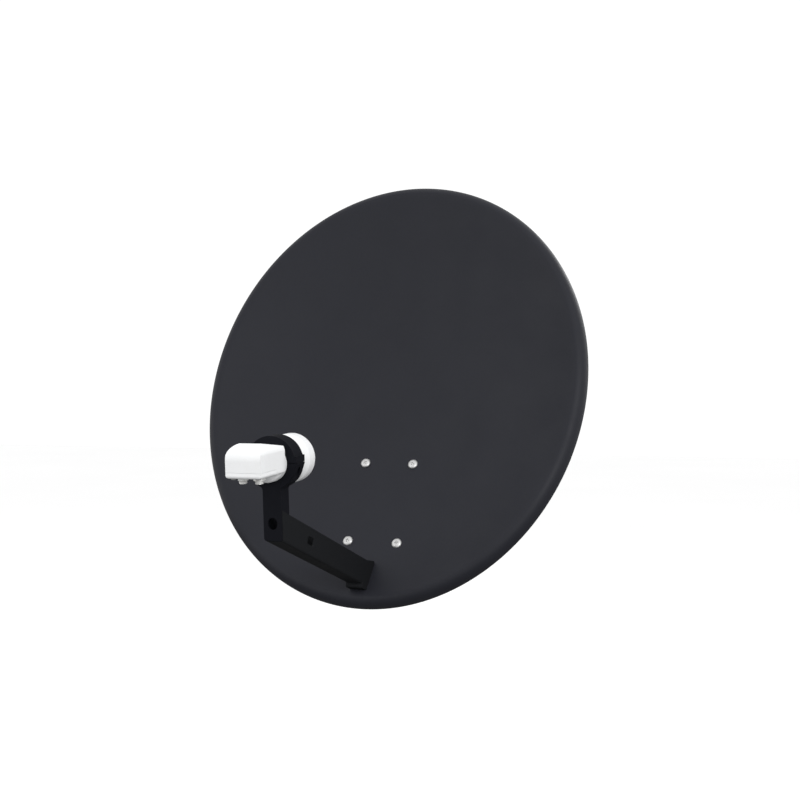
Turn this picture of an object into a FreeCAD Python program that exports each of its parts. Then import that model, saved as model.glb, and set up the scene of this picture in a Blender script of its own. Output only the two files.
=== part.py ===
"""Offset satellite dish: reflector, feed arm, low-noise block and tilting mast mount.

Object frame: +Z runs up along the mast, the origin lies on the mast's axis at mid-height of
the mast clamp, and the dish faces -Y. All sizes are in millimetres and degrees.
"""
import math
import os
import re

import FreeCAD
import Part
import Sketcher

Vector = FreeCAD.Vector
X_AXIS = Vector(1, 0, 0)
Y_AXIS = Vector(0, 1, 0)
Z_AXIS = Vector(0, 0, 1)

doc = FreeCAD.newDocument("satellite_dish")

# ---------------------------------------------------------------- driving dimensions

DIMENSIONS = [
    # reflector: an offset section of a paraboloid with a rolled rim
    ("aperture_width", 550), ("focal_length", 280), ("vertex_clearance", 10),
    ("skin", 1), ("lip_reach", 14.6), ("lip_drop", 17.7), ("dish_tilt", 20),
    # four screws that hold the reflector to its bracket
    ("screw_spread", 73.7), ("screw_rise", 121.6), ("screw_mid", -166.8),
    ("screw_head_radius", 7.25), ("screw_head_rise", 3.2), ("screw_radius", 3),
    ("screw_hole_radius", 3.3), ("spacer_radius", 8), ("spacer_length", 8), ("seat_radius", 9.2),
    # bracket behind the reflector
    ("bracket_gauge", 2.5), ("ear_outside", 56), ("bracket_top", 80), ("bracket_foot", -75),
    ("stem_half", 24), ("stem_foot", -138), ("pivot_back", 33), ("pivot_up", 30),
    ("slot_arm", 62), ("slot_half", 4.3), ("slot_first", -86), ("slot_last", -35),
    ("scale_arm", 76.5), ("scale_half", 4.5), ("scale_gauge", 0.5),
    ("socket_half", 12.3), ("socket_gauge", 2.5), ("socket_depth", 42),
    # feed arm: a U-channel, and the slot that it goes through
    ("arm_width", 24), ("arm_gauge", 1.5), ("arm_top", -260.5), ("arm_bottom", -293.5),
    ("arm_bend", 3), ("arm_end", 70), ("arm_bolt_back", 56), ("arm_bolt_height", -277),
    ("plug_top", -263), ("plug_bottom", -291), ("cable_slot_front", -187),
    ("cable_slot_length", 17), ("cable_slot_height", 9.5), ("cable_slot_mid", -276.3),
    # low-noise block, its axis and the clamp around its neck
    ("feed_forward", 286.3), ("feed_drop", 207.4), ("feed_angle", 24),
    ("ring_radius", 31), ("ring_bore", 20.9), ("ring_front", -10), ("ring_back", 12),
    ("lug_reach", 32.3), ("lug_top", 8), ("lug_foot", -9), ("lug_seat", -4.6),
    ("insert_radius", 3), ("insert_foot", 0.4), ("insert_top", 6.4), ("lug_screw_x", 26.6),
    ("split_gap", 0.25), ("upright_half", 11.5), ("upright_back", 10),
    ("cover_gauge", 1.9), ("cable_hole_half", 5.9), ("cable_hole_height", 13.8),
    ("cable_hole_mid", -70), ("neck_radius", 20), ("liner_inner", 20.1), ("liner_outer", 20.8),
    ("cap_radius", 29), ("cap_face", 49), ("cap_wall", 1.6), ("cap_shoulder", 31),
    ("housing_half", 21.7), ("housing_rear", -74), ("housing_top", 27.3),
    ("housing_top_front", 20.8), ("housing_foot", -10), ("seam_height", -3.5),
    ("skirt_rear", -37), ("housing_bend", 18),
    ("shoulder_width", 9), ("shoulder_height", 18),
    ("collar_radius", 21.3), ("collar_front", -10.4),
    ("connector_x", 10), ("connector_y", -56), ("connector_flats", 11.5),
    ("socket_hex", 3.6), ("socket_end", 7.2),
    # mast clamp and tilt pivot
    ("mast_radius", 25), ("pivot_ahead", 52), ("pivot_above", 26),
    ("mast_gauge", 3), ("mast_ear_outside", 53), ("web_front", -38), ("web_top", 45),
    ("web_foot", -52), ("saddle_half", 31), ("saddle_height", 30), ("jaw_half", 50),
    ("jaw_back", 35), ("jaw_lip", 8), ("clamp_bolt_x", 38), ("clamp_bolt_end", 58),
    ("m8_shank", 8), ("m8_hole", 8.16), ("m8_flats", 13), ("m8_nut", 6.5), ("m8_washer", 17),
    ("washer_gauge", 1.6), ("m6_flats", 10), ("m6_nut", 5), ("m6_hole", 6.4), ("m6_washer", 16),
    ("m4_shank", 4), ("m4_hole", 4.2), ("m4_head", 7.4), ("play", 0.2),
]

sheet = doc.addObject("Spreadsheet::Sheet", "dims")
for row, (alias, amount) in enumerate(DIMENSIONS, start=1):
    sheet.set("A%d" % row, alias)
    sheet.set("B%d" % row, str(amount))
    sheet.setAlias("B%d" % row, alias)
doc.recompute()

ALIAS_WORDS = re.compile(r"\b(" + "|".join(alias for alias, amount in DIMENSIONS) + r")\b")


def formula(text):
    """Expression text with each alias pointing at the sheet."""
    return ALIAS_WORDS.sub(r"dims.\1", str(text))


def size(text):
    """Value of an alias or of an expression of aliases."""
    return float(sheet.evalExpression(formula(text)))


# ---------------------------------------------------------------- reflector geometry

offset_height = size("aperture_width / 2 + vertex_clearance")
offset_angle = math.atan(offset_height / (2 * size("focal_length")))
rim_low = size("vertex_clearance") ** 2 / (4 * size("focal_length"))
rim_high = size("vertex_clearance + aperture_width") ** 2 / (4 * size("focal_length"))
aperture_depth = (rim_low + rim_high) / 2
aperture_half_height = size("aperture_width / 2") / math.cos(offset_angle)


def surface_depth(across, up):
    """Depth of the reflector's front surface behind the aperture plane."""
    sine, cosine = math.sin(offset_angle), math.cos(offset_angle)
    four_focal = 4 * size("focal_length")
    radial = offset_height + up * cosine
    square = sine ** 2
    linear = 2 * radial * sine + four_focal * cosine
    constant = across ** 2 + radial ** 2 - four_focal * (aperture_depth + up * sine)
    return (math.sqrt(linear ** 2 - 4 * square * constant) - linear) / (2 * square)


# ---------------------------------------------------------------- frames

def turned_about_x(degrees):
    return FreeCAD.Rotation(X_AXIS, degrees)


screw_x = size("screw_spread / 2")
screw_high = size("screw_mid + screw_rise / 2")
screw_low = size("screw_mid - screw_rise / 2")
depth_high = surface_depth(screw_x, screw_high)
depth_low = surface_depth(screw_x, screw_low)
bracket_lean = math.degrees(math.atan2(depth_high - depth_low, screw_high - screw_low))
screw_z = math.hypot(depth_high - depth_low, screw_high - screw_low) / 2

# In the bracket frame, Y = 0 is the front face of the bracket's web.
seat_front = -size("skin + spacer_length")
bracket_in_dish = FreeCAD.Placement(Vector(), turned_about_x(-bracket_lean))
bracket_in_dish.Base = (Vector(0, (depth_high + depth_low) / 2, size("screw_mid"))
                        - bracket_in_dish.Rotation.multVec(Vector(0, seat_front, 0)))

PIVOT = Vector(0, -size("pivot_ahead"), size("pivot_above"))
tilted = turned_about_x(-size("dish_tilt") - bracket_lean)
BRACKET_FRAME = FreeCAD.Placement(
    PIVOT - tilted.multVec(Vector(0, size("pivot_back"), size("pivot_up"))), tilted)
DISH_FRAME = BRACKET_FRAME.multiply(bracket_in_dish.inverse())
feed_in_dish = FreeCAD.Placement(
    Vector(0, -size("feed_forward"), -size("feed_drop")), turned_about_x(size("feed_angle")))
FEED_FRAME = DISH_FRAME.multiply(feed_in_dish)
MAST_FRAME = FreeCAD.Placement()

# ---------------------------------------------------------------- sketch helpers

nodes = []


def finished(shape_object, label, frame):
    """Name a sub-part, put it in place and list it for export."""
    shape_object.Label = label
    shape_object.Placement = frame
    nodes.append(shape_object)
    return shape_object


def polygon(*corners):
    """Closed outline. A corner (x, y, (mid x, mid y)) starts an arc through that mid-point."""
    return ("outline", corners)


def rectangle(left, right, bottom, top):
    return polygon((left, bottom), (right, bottom), (right, top), (left, top))


def circle(centre_x, centre_y, radius):
    return ("circle", (centre_x, centre_y, radius))


def arc_slot(centre_x, centre_y, arm, half, first, last):
    """Round-ended slot that follows an arc from one angle to another."""
    return ("arc_slot", (centre_x, centre_y, arm, half, first, last))


def bind(sketch, kind, places, text):
    """Add a measured constraint that follows an expression."""
    index = sketch.addConstraint(Sketcher.Constraint(kind, *places, size(text)))
    sketch.setExpression("Constraints[%d]" % index, formula(text))


def draw_outline(sketch, corners):
    first = sketch.GeometryCount
    count = len(corners)
    points = [Vector(size(corner[0]), size(corner[1]), 0) for corner in corners]
    for i, corner in enumerate(corners):
        start, end = points[i], points[(i + 1) % count]
        if len(corner) == 3:
            middle = Vector(size(corner[2][0]), size(corner[2][1]), 0)
            arc = Part.Arc(start, middle, end)
            sketch.addGeometry(arc, False)
        else:
            sketch.addGeometry(Part.LineSegment(start, end), False)
    ends = []
    for i in range(count):
        # An arc drawn clockwise is stored with its ends exchanged.
        start_vertex = sketch.getPoint(first + i, 1)
        forward = start_vertex.distanceToPoint(points[i]) < 1e-6
        ends.append((1, 2) if forward else (2, 1))
    for i in range(count):
        following = (i + 1) % count
        sketch.addConstraint(Sketcher.Constraint(
            "Coincident", first + i, ends[i][1], first + following, ends[following][0]))
    for i, corner in enumerate(corners):
        bind(sketch, "DistanceX", (-1, 1, first + i, ends[i][0]), corner[0])
        bind(sketch, "DistanceY", (-1, 1, first + i, ends[i][0]), corner[1])


def draw_circle(sketch, centre_x, centre_y, radius):
    centre = Vector(size(centre_x), size(centre_y), 0)
    index = sketch.addGeometry(Part.Circle(centre, Z_AXIS, size(radius)), False)
    bind(sketch, "DistanceX", (-1, 1, index, 3), centre_x)
    bind(sketch, "DistanceY", (-1, 1, index, 3), centre_y)
    bind(sketch, "Radius", (index,), radius)


def draw_arc_slot(sketch, centre_x, centre_y, arm, half, first, last):
    centre = Vector(size(centre_x), size(centre_y), 0)
    start, end = math.radians(size(first)), math.radians(size(last))

    def arc(middle, radius, from_angle, to_angle):
        full = Part.Circle(middle, Z_AXIS, radius)
        return sketch.addGeometry(Part.ArcOfCircle(full, from_angle, to_angle), False)

    def on_arm(angle):
        reach = size(arm)
        return centre + Vector(reach * math.cos(angle), reach * math.sin(angle), 0)

    outer = arc(centre, size(arm) + size(half), start, end)
    inner = arc(centre, size(arm) - size(half), start, end)
    start_cap = arc(on_arm(start), size(half), start + math.pi, start + 2 * math.pi)
    end_cap = arc(on_arm(end), size(half), end, end + math.pi)
    for pair in ((outer, 1, start_cap, 2), (outer, 2, end_cap, 1),
                 (inner, 1, start_cap, 1), (inner, 2, end_cap, 2)):
        sketch.addConstraint(Sketcher.Constraint("Tangent", *pair))
    sketch.addConstraint(Sketcher.Constraint("Coincident", inner, 3, outer, 3))
    bind(sketch, "DistanceX", (-1, 1, outer, 3), centre_x)
    bind(sketch, "DistanceY", (-1, 1, outer, 3), centre_y)
    bind(sketch, "Radius", (outer,), "%s + %s" % (arm, half))
    bind(sketch, "Radius", (inner,), "%s - %s" % (arm, half))
    for cap, angle in ((start_cap, first), (end_cap, last)):
        text = "%s + %s * cos((%s) * 1 deg)" % (centre_x, arm, angle)
        bind(sketch, "DistanceX", (-1, 1, cap, 3), text)


def draw_shape(sketch, kind, values):
    if kind == "outline":
        draw_outline(sketch, values)
    elif kind == "circle":
        draw_circle(sketch, *values)
    else:
        draw_arc_slot(sketch, *values)


def origin_feature(body, role):
    return next(f for f in body.Origin.OriginFeatures if f.Role == role)


def new_sketch(body, plane, offset, shapes):
    """Sketch on an origin plane, moved along the plane's normal by an expression."""
    sketch = body.newObject("Sketcher::SketchObject", "sketch")
    sketch.AttachmentSupport = [(origin_feature(body, plane + "_Plane"), "")]
    sketch.MapMode = "FlatFace"
    sketch.setExpression(".AttachmentOffset.Base.z", formula(offset))
    for kind, values in shapes:
        draw_shape(sketch, kind, values)
    return sketch


def extrude(body, kind, plane, start, end, *shapes):
    """Pad or pocket between two places along the plane's third axis, start below end."""
    facing_back = plane == "XZ"
    offset = "-(%s)" % start if facing_back else start
    sketch = new_sketch(body, plane, offset, shapes)
    feature = body.newObject("PartDesign::" + kind, kind.lower())
    feature.Profile = sketch
    feature.setExpression("Length", formula("(%s) - (%s)" % (end, start)))
    feature.Reversed = facing_back == (kind == "Pad")
    return feature


def pad(body, plane, start, end, *shapes):
    return extrude(body, "Pad", plane, start, end, *shapes)


def pocket(body, plane, start, end, *shapes):
    """Cut that must take something away, so that a wrong direction is noticed."""
    doc.recompute()
    before = body.Shape.Volume
    feature = extrude(body, "Pocket", plane, start, end, *shapes)
    doc.recompute()
    if body.Shape.Volume > before - 0.01:
        raise ValueError("pocket in %s cuts nothing" % body.Label)
    return feature


def revolve(body, kind, axis, shape):
    """Turn a profile, drawn in the YZ or XZ plane, once about an origin axis."""
    plane = "YZ" if axis == "Y" else "XZ"
    sketch = new_sketch(body, plane, "0", [shape])
    feature = body.newObject("PartDesign::" + kind, kind.lower())
    feature.Profile = sketch
    feature.ReferenceAxis = (origin_feature(body, axis + "_Axis"), [""])
    feature.Angle = 360
    return feature


def dress(body, kind, amount, chosen):
    """Fillet or chamfer the edges of the body's tip that a test picks."""
    doc.recompute()
    base = body.Tip
    names = ["Edge%d" % (i + 1) for i, edge in enumerate(base.Shape.Edges) if chosen(edge)]
    feature = body.newObject("PartDesign::" + kind, kind.lower())
    feature.Base = (base, names)
    feature.setExpression("Radius" if kind == "Fillet" else "Size", formula(amount))
    doc.recompute()
    return feature


def runs_along(edge, axis):
    """True for a straight edge parallel to an axis."""
    if edge.Curve.TypeId != "Part::GeomLine":
        return False
    direction = (edge.lastVertex().Point - edge.firstVertex().Point).normalize()
    return abs(abs(direction.dot(axis)) - 1) < 1e-6


def middle_of(edge):
    return edge.CenterOfMass


def new_body(label):
    return doc.addObject("PartDesign::Body", label)


def mirrored_group(label, single, frame, placements):
    """One node of identical, separate solids: copies of a single piece."""
    doc.recompute()
    group = doc.addObject("Part::Feature", label)
    group.Shape = Part.makeCompound(
        [single.Shape.copy().transformed(place.toMatrix()) for place in placements])
    return finished(group, label, frame)


def moved(across, back, up, turn=None):
    return FreeCAD.Placement(Vector(across, back, up), turn or FreeCAD.Rotation())


FLIPPED = FreeCAD.Rotation(Z_AXIS, 180)


# ---------------------------------------------------------------- fasteners

def hex_outline(flats):
    """Hexagon across its flats, centred, as a polygon of expressions."""
    corners = []
    for step in range(6):
        angle = 60 * step + 30
        reach = "(%s) / 2 / cos(30 deg)" % flats
        corners.append(("%s * cos(%d deg)" % (reach, angle), "%s * sin(%d deg)" % (reach, angle)))
    return polygon(*corners)


def hex_nut(label, flats, bore, thickness):
    """Nut on the X axis, from X = 0 outwards."""
    body = new_body(label)
    pad(body, "YZ", "0", thickness, hex_outline(flats))
    pocket(body, "YZ", "-1", "%s + 1" % thickness, circle("0", "0", bore))
    return body


def washer(label, outside, bore, thickness):
    body = new_body(label)
    pad(body, "YZ", "0", thickness, circle("0", "0", outside))
    pocket(body, "YZ", "-1", "%s + 1" % thickness, circle("0", "0", bore))
    return body


def hex_bolt(label, flats, head, shank, length):
    """Bolt on the X axis: the head starts at X = 0, the shank runs towards -X."""
    body = new_body(label)
    pad(body, "YZ", "0", head, hex_outline(flats))
    pad(body, "YZ", "-(%s)" % length, "0", circle("0", "0", shank))
    dress(body, "Chamfer", "0.6", lambda edge: middle_of(edge).x < 1 - size(length)
          and edge.Curve.TypeId == "Part::GeomCircle")
    return body


TOWARDS_BACK = FreeCAD.Rotation(Z_AXIS, 90)
UPWARDS = FreeCAD.Rotation(Y_AXIS, -90)
DOWNWARDS = FreeCAD.Rotation(Y_AXIS, 90)


# ---------------------------------------------------------------- reflector

def ellipse_wire(half_width, half_height, depth, rise):
    """Ellipse parallel to the aperture plane."""
    centre = Vector(0, depth, rise)
    ellipse = Part.Ellipse(centre + Vector(0, 0, half_height), centre + Vector(half_width, 0, 0),
                           centre)
    return Part.Wire([ellipse.toShape()])


def reflector_stations(thickness):
    """Level ellipses from the deepest point out to the rim, then down the rolled lip."""
    half = size("aperture_width / 2")
    sine, cosine = math.sin(offset_angle), math.cos(offset_angle)
    stations = []
    for share in (0.015, 0.1, 0.2, 0.3, 0.4, 0.5, 0.6, 0.7, 0.8, 0.88, 0.94, 0.98, 1):
        radius = half * share
        sag = (half ** 2 - radius ** 2) / (4 * size("focal_length"))
        stations.append(ellipse_wire(radius, radius / cosine, (sag + thickness) * cosine,
                                     -(sag + thickness) * sine))
    for turn in (25, 45, 65, 90):
        angle = math.radians(turn)
        outwards = (size("lip_reach") - thickness) * math.sin(angle)
        backwards = (size("lip_drop") * (1 - math.cos(angle)) + thickness * math.cos(angle))
        stations.append(ellipse_wire(half + outwards, half / cosine + outwards, backwards, 0))
    return stations


def closed_edges(shell):
    """The two round end edges of a lofted shell, the small one first."""
    return sorted((edge for edge in shell.Edges if edge.isClosed()), key=lambda edge: edge.Length)


def make_reflector():
    """Pressed sheet: front and back skins lofted through ellipses, closed at both ends."""
    front = Part.makeLoft(reflector_stations(0), False, False)
    back = Part.makeLoft(reflector_stations(size("skin")), False, False)
    (front_centre, front_rim), (back_centre, back_rim) = closed_edges(front), closed_edges(back)
    discs = [Part.Face(Part.Wire([edge])) for edge in (front_centre, back_centre)]
    rim_band = Part.Face(Part.Wire([front_rim])).cut(Part.Face(Part.Wire([back_rim])))
    shell = Part.makeShell(front.Faces + back.Faces + discs + rim_band.Faces)
    shell.sewShape()
    sheet_metal = Part.makeSolid(shell)
    # Flat seats under the screw heads, each with a hole for its screw.
    to_dish = bracket_in_dish.toMatrix()
    for across in (-screw_x, screw_x):
        for up in (-screw_z, screw_z):
            def disc(radius, back_from, back_to):
                start = Vector(across, back_from, up)
                cylinder = Part.makeCylinder(radius, back_to - back_from, start, Y_AXIS)
                return cylinder.transformed(to_dish)
            seat = size("seat_radius")
            seat_back = seat_front + size("skin")
            sheet_metal = sheet_metal.cut(disc(seat - 0.6, seat_front - 12, seat_back + 12))
            sheet_metal = sheet_metal.fuse(disc(seat, seat_front, seat_back))
            sheet_metal = sheet_metal.cut(disc(size("screw_hole_radius"), seat_front - 5,
                                               seat_back + 5))
    slot = Part.makeBox(size("arm_width") + 1.2, 60, size("plug_top - plug_bottom") + 1.2,
                        Vector(-size("arm_width") / 2 - 0.6, -20, size("plug_bottom") - 0.6))
    reflector = doc.addObject("Part::Feature", "reflector")
    reflector.Shape = sheet_metal.cut(slot)
    return finished(reflector, "reflector", DISH_FRAME)


# ---------------------------------------------------------------- reflector fixings

def corner_places(back, turn=None):
    return [moved(across, back, up, turn)
            for across in (-screw_x, screw_x) for up in (-screw_z, screw_z)]


def make_reflector_fixings():
    screw = new_body("reflector_screw")
    shank_end = "spacer_length + skin + bracket_gauge + washer_gauge + m6_nut + 3"
    head = polygon(
        ("0", "0"), (shank_end, "0"), (shank_end, "screw_radius - 0.6"),
        ("%s - 0.6" % shank_end, "screw_radius"), ("0", "screw_radius"),
        ("0", "screw_head_radius"), ("-0.9", "screw_head_radius", ("-2.3", "5.2")),
        ("-screw_head_rise", "2.4"), ("-screw_head_rise", "0"))
    revolve(screw, "Revolution", "Y", head)
    recess = "-screw_head_rise + 1.8"
    for half_wide, half_tall in (("2.6", "0.55"), ("0.55", "2.6")):
        pocket(screw, "XZ", "-screw_head_rise - 1", recess,
               rectangle("-" + half_wide, half_wide, "-" + half_tall, half_tall))
    mirrored_group("reflector_screws", screw, BRACKET_FRAME, corner_places(seat_front))

    spacer = new_body("reflector_spacer")
    pad(spacer, "XZ", "0", "spacer_length", circle("0", "0", "spacer_radius"))
    pocket(spacer, "XZ", "-1", "spacer_length + 1", circle("0", "0", "screw_hole_radius"))
    mirrored_group("reflector_spacers", spacer, BRACKET_FRAME,
                   corner_places(-size("spacer_length")))

    ring = washer("reflector_washer", "m6_washer / 2", "m6_hole / 2", "washer_gauge")
    mirrored_group("reflector_washers", ring, BRACKET_FRAME,
                   corner_places(size("bracket_gauge"), TOWARDS_BACK))
    nut = hex_nut("reflector_nut", "m6_flats", "screw_radius + 0.05", "m6_nut")
    mirrored_group("reflector_nuts", nut, BRACKET_FRAME,
                   corner_places(size("bracket_gauge + washer_gauge"), TOWARDS_BACK))


def make_dish_bracket():
    """Pressed U: a web behind the reflector, two tilt ears and a socket for the arm."""
    body = new_body("dish_bracket")
    pad(body, "XZ", "0", "bracket_gauge", polygon(
        ("-ear_outside", "bracket_foot"), ("-stem_half - 8", "bracket_foot - 12"),
        ("-stem_half", "bracket_foot - 24"), ("-stem_half", "stem_foot"),
        ("stem_half", "stem_foot"), ("stem_half", "bracket_foot - 24"),
        ("stem_half + 8", "bracket_foot - 12"), ("ear_outside", "bracket_foot"),
        ("ear_outside", "bracket_top"), ("-ear_outside", "bracket_top")))
    ear = polygon(("0", "bracket_top"), ("40", "bracket_top - 14"), ("74", "44"),
                  ("104", "2"), ("103", "-24"), ("72", "-52"), ("46", "-61"), ("18", "-64"),
                  ("0", "bracket_foot"))
    for start, end in (("ear_outside - bracket_gauge", "ear_outside"),
                       ("-ear_outside", "-ear_outside + bracket_gauge")):
        pad(body, "YZ", start, end, ear)
    tab = polygon(("0", "-128"), ("socket_depth - 8", "-128"), ("socket_depth", "-120"),
                  ("socket_depth", "-100"), ("socket_depth - 8", "-92"), ("0", "-92"))
    for start, end in (("socket_half", "socket_half + socket_gauge"),
                       ("-socket_half - socket_gauge", "-socket_half")):
        pad(body, "YZ", start, end, tab)
    hole_rows = [circle(side + "screw_spread / 2", "%s" % up, "screw_hole_radius")
                 for side in ("-", "") for up in (-screw_z, screw_z)]
    pocket(body, "XZ", "-1", "bracket_gauge + 1", *hole_rows)
    pocket(body, "XZ", "-1", "bracket_gauge + 1", circle("0", "8", "20"),
           rectangle("-socket_half", "socket_half", "-126.4", "-94.8"))
    everything = ("-ear_outside - 1", "ear_outside + 1")
    pocket(body, "YZ", *everything, circle("pivot_back", "pivot_up", "m8_hole / 2"))
    pocket(body, "YZ", *everything, arc_slot("pivot_back", "pivot_up", "slot_arm", "slot_half",
                                             "slot_first", "slot_last"))
    bolt_hole = arm_bolt_place()
    pocket(body, "YZ", "-20", "20", circle("%s" % bolt_hole.y, "%s" % bolt_hole.z, "m6_hole / 2"))
    return finished(body, "dish_bracket", BRACKET_FRAME)


def arm_bolt_place():
    """Axis of the arm's cross bolt, in the bracket frame."""
    in_dish = Vector(0, size("arm_bolt_back"), size("arm_bolt_height"))
    return bracket_in_dish.inverse().multVec(in_dish)


def make_elevation_scale():
    """Thin scale strip beside the tilt slot, with raised tick marks."""
    body = new_body("elevation_scale")
    pad(body, "YZ", "ear_outside", "ear_outside + scale_gauge",
        arc_slot("pivot_back", "pivot_up", "scale_arm", "scale_half", "slot_first + 4",
                 "slot_last - 2"))
    return finished(body, "elevation_scale", BRACKET_FRAME)


# ---------------------------------------------------------------- feed arm

def front_plane_y(depth, up):
    """Y, in the dish frame, of the plane at a depth in the feed frame, at a height."""
    return ("-feed_forward + ((%s) - ((%s) + feed_drop) * sin(feed_angle * 1 deg))"
            " / cos(feed_angle * 1 deg)" % (depth, up))


def make_feed_arm():
    """U-channel: open on top, cut to lean with the feed, its end plugged through the dish."""
    body = new_body("feed_arm")
    cover_back = "ring_front + cover_gauge + 0.1"
    top_contact = surface_depth(size("arm_width / 2"), size("arm_top + 1")) - 0.5
    foot_contact = surface_depth(size("arm_width / 2"), size("arm_bottom - 5.5")) - 0.5
    pad(body, "YZ", "-arm_width / 2", "arm_width / 2", polygon(
        (front_plane_y(cover_back, "arm_bottom"), "arm_bottom"),
        ("-12.5", "arm_bottom"), ("-12", "arm_bottom - 2.5", ("-10.9", "arm_bottom - 4.7")),
        ("-8.5", "arm_bottom - 5.5"), ("%s" % foot_contact, "arm_bottom - 5.5"),
        ("%s" % (surface_depth(12, size("plug_bottom")) - 0.5), "plug_bottom"),
        ("arm_end", "plug_bottom"), ("arm_end", "plug_top"),
        ("%s" % (surface_depth(12, size("plug_top")) - 0.5), "plug_top"),
        ("%s" % top_contact, "arm_top + 1", ("%s" % (top_contact - 0.9), "arm_top + 3.1")),
        ("%s" % (top_contact - 3), "arm_top + 4"), ("-8", "arm_top"),
        (front_plane_y(cover_back, "arm_top"), "arm_top")))
    inner = "arm_width / 2 - arm_gauge"
    floor = "arm_bottom + arm_gauge"
    pocket(body, "YZ", "-(%s)" % inner, inner, polygon(
        ("-300", floor), ("-5", floor), ("0", "plug_bottom + arm_gauge"),
        ("arm_end + 1", "plug_bottom + arm_gauge"), ("arm_end + 1", "arm_top + 20"),
        ("-300", "arm_top + 20")))
    dress(body, "Fillet", "arm_bend", lambda edge: runs_along(edge, Y_AXIS)
          and edge.Length > 200 and abs(middle_of(edge).z - size("arm_bottom")) < 0.01)
    cable_slot = rectangle("cable_slot_front - cable_slot_length / 2",
                           "cable_slot_front + cable_slot_length / 2",
                           "cable_slot_mid - cable_slot_height / 2",
                           "cable_slot_mid + cable_slot_height / 2")
    pocket(body, "YZ", "-20", "20", cable_slot)
    dress(body, "Fillet", "2.5", lambda edge: runs_along(edge, X_AXIS)
          and abs(middle_of(edge).y - size("cable_slot_front")) < 10
          and abs(middle_of(edge).z - size("cable_slot_mid")) < 6)
    pocket(body, "YZ", "-20", "20", circle("arm_bolt_back", "arm_bolt_height", "m6_hole / 2"))
    return finished(body, "feed_arm", DISH_FRAME)


def make_arm_bolt():
    place = arm_bolt_place()
    outer = size("socket_half + socket_gauge")
    bolt = hex_bolt("arm_cross_bolt", "m6_flats", "4", "screw_radius", "%s" % (2 * outer + 9))
    mirrored_group("arm_bolt", bolt, BRACKET_FRAME, [moved(outer, place.y, place.z)])
    nut = hex_nut("arm_cross_nut", "m6_flats", "screw_radius + 0.05", "m6_nut")
    mirrored_group("arm_nut", nut, BRACKET_FRAME, [moved(-outer, place.y, place.z, FLIPPED)])


# ---------------------------------------------------------------- feed holder and clamp

def in_feed_height(dish_height, feed_depth):
    """Z, in the feed frame, of a height in the dish frame at a depth in the feed frame."""
    return ("((%s) + feed_drop - (%s) * sin(feed_angle * 1 deg)) / cos(feed_angle * 1 deg)"
            % (dish_height, feed_depth))


def make_lnb_holder():
    """Lower half of the neck clamp on a leg that plugs into the arm and caps its end."""
    body = new_body("lnb_holder")
    pad(body, "XZ", "ring_front", "ring_back", circle("0", "0", "ring_radius"))
    leg_seat = "arm_top + 0.2"
    cover_foot = in_feed_height("arm_bottom", "ring_front")
    pad(body, "YZ", "-upright_half", "upright_half", polygon(
        ("ring_front", "-20"), ("ring_front", cover_foot),
        ("ring_front + cover_gauge", cover_foot),
        ("ring_front + cover_gauge", in_feed_height(leg_seat, "ring_front + cover_gauge")),
        ("upright_back", in_feed_height(leg_seat, "upright_back")), ("upright_back", "-20")))
    plug_half = "arm_width / 2 - arm_gauge - 0.1"
    plug_floor = "arm_bottom + arm_gauge + 0.2"
    pad(body, "YZ", "-(%s)" % plug_half, plug_half, polygon(
        ("ring_front + 1", "-50"),
        ("ring_front + 1", in_feed_height(plug_floor, "ring_front + 1")),
        ("24", in_feed_height(plug_floor, "24")),
        ("24", in_feed_height("arm_top - 3", "24")), ("upright_back", "-64"),
        ("upright_back", "-50")))
    dress(body, "Fillet", "5", lambda edge: runs_along(edge, Y_AXIS) and edge.Length > 15
          and -32 < middle_of(edge).z < -24 and abs(middle_of(edge).x) < 13)
    dress(body, "Fillet", "3", lambda edge: runs_along(edge, Y_AXIS) and edge.Length < 2
          and middle_of(edge).z < -85 and abs(middle_of(edge).x) > 11)
    for side in ("-", ""):
        pad(body, "XZ", "ring_front", "ring_back", polygon(
            (side + "22", "0"), (side + "lug_reach", "0"), (side + "lug_reach", "-1.5"),
            (side + "29.6", "lug_foot"), (side + "22", "lug_foot")))
    pocket(body, "XZ", "ring_front - 1", "ring_back + 1", circle("0", "0", "ring_bore"))
    pocket(body, "XZ", "ring_front - 1", "ring_back + 1",
           rectangle("-40", "40", "-split_gap", "40"))
    cavity = "upright_half - 2.6"
    pocket(body, "YZ", "-(%s)" % cavity, cavity, polygon(
        ("ring_front + 2.4", "-60"), ("ring_front + 2.4", "-85"), ("40", "-96"), ("40", "-74"),
        ("upright_back - 4", "-60")))
    hole_mid = "cable_hole_mid"
    straight = "(cable_hole_height / 2 - cable_hole_half)"
    pocket(body, "XZ", "ring_front - 1", "ring_front + 6", polygon(
        ("-cable_hole_half", "%s - %s" % (hole_mid, straight),
         ("0", "%s - cable_hole_height / 2" % hole_mid)),
        ("cable_hole_half", "%s - %s" % (hole_mid, straight)),
        ("cable_hole_half", "%s + %s" % (hole_mid, straight),
         ("0", "%s + cable_hole_height / 2" % hole_mid)),
        ("-cable_hole_half", "%s + %s" % (hole_mid, straight))))
    for side in ("-", ""):
        pocket(body, "XY", "-40", "1", circle(side + "lug_screw_x", "1", "m4_hole / 2"))
        pocket(body, "XY", "-40", "lug_seat", circle(side + "lug_screw_x", "1", "4.3"))
    return finished(body, "lnb_holder", FEED_FRAME)


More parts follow.
